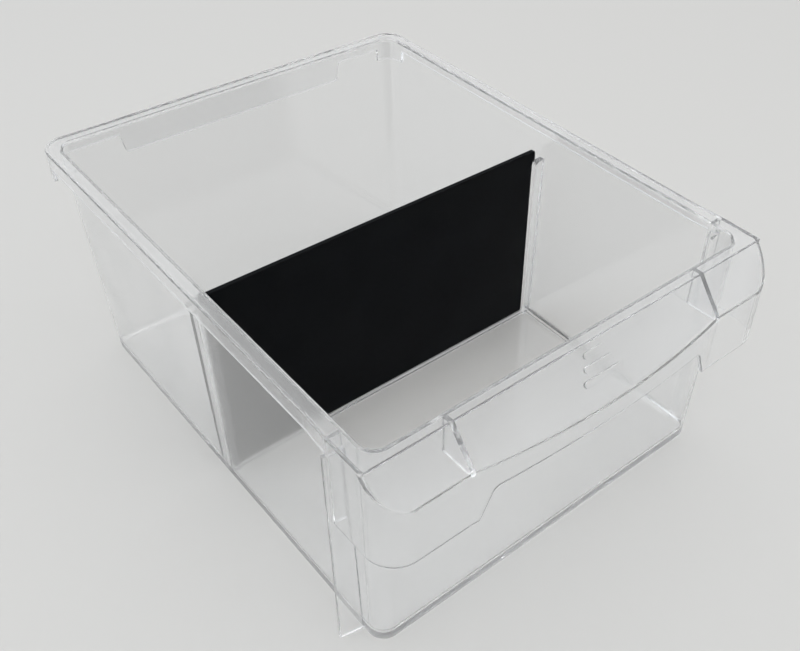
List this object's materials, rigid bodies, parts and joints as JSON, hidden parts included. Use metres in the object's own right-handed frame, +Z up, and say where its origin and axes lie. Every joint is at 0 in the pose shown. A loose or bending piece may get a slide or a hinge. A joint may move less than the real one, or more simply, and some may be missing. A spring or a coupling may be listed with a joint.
{
  "type": "pull-out storage drawer",
  "caption": "Clear moulded pull-out drawer with a hanging handle, side fins and a dark divider plate that lifts out of guide ribs.",
  "frame": {"origin": "middle of the bounding box, on the surface that the drawer stands on", "axes": "+X to the right seen from the handle side, +Y from the handle to the back, +Z up"},
  "size_m": [0.215, 0.279, 0.12],
  "materials": {
    "clear_plastic": "clear moulded plastic with a slight haze",
    "black_plastic": "smooth black plate"
  },
  "bodies": {
    "drawer": {"drawer": "clear_plastic"},
    "divider": {"divider_plate": "black_plastic"}
  },
  "joints": [
    {"name": "divider_lift", "type": "slide", "parent": "drawer", "child": "divider", "axis": [0, 0, 1], "range_m": [0, 0.12]}
  ]
}
